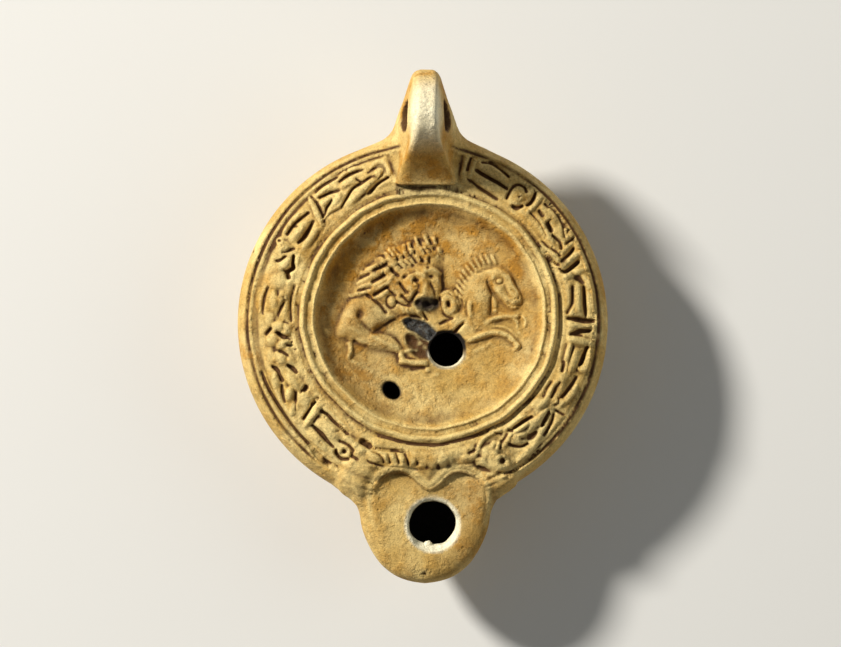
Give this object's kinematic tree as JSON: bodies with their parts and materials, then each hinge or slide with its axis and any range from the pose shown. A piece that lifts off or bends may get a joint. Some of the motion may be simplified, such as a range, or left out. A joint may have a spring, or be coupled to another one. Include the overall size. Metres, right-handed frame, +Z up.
{
  "type": "roman oil lamp",
  "caption": "Mould-made clay oil lamp, heart-shaped nozzle and pierced handle, with a lion seizing a horse on its sunken discus and a frieze of arms round the shoulder.",
  "frame": {"origin": "centre of the flat foot, on its underside", "axes": "+Z up out of the discus, +Y towards the handle, -Y towards the nozzle"},
  "size_m": [0.082, 0.1123, 0.0452],
  "materials": {
    "fired_clay": "matt fired clay, worn, with brown deposits in the recesses"
  },
  "bodies": {
    "root": {"oil_lamp": "fired_clay"}
  },
  "joints": []
}
